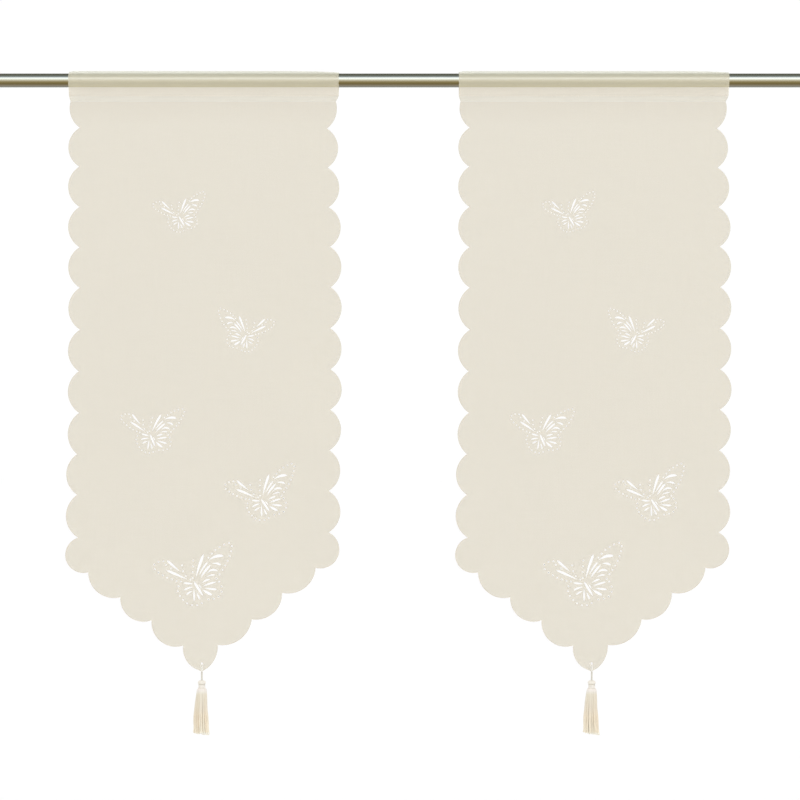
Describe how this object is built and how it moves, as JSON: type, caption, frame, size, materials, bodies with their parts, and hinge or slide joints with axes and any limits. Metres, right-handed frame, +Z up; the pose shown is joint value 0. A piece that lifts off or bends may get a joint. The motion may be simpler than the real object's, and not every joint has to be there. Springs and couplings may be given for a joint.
{
  "type": "cafe curtain pair on a rod",
  "caption": "Short sheer cafe curtain panels with scalloped, pointed lower edges, cut-out butterflies and tassels, hanging by sewn pockets from one plain rod.",
  "frame": {"origin": "middle of the rod's axis, midway between the two panels", "axes": "+X along the rod, -Y towards the room, +Z up"},
  "size_m": [1.4, 0.0258, 1.1055],
  "materials": {
    "rod_steel": "satin polished steel tube",
    "voile": "sheer cream polyester voile, matt, about a quarter see-through",
    "tassel_cord": "thin twisted rayon cord, soft sheen",
    "tassel_yarn": "twisted rayon yarn, soft sheen"
  },
  "bodies": {
    "root": {"rod": "rod_steel", "panel_left": "voile", "panel_right": "voile", "tassel_cord_left": "tassel_cord", "tassel_cord_right": "tassel_cord", "tassel_left": "tassel_yarn", "tassel_right": "tassel_yarn"}
  },
  "joints": []
}
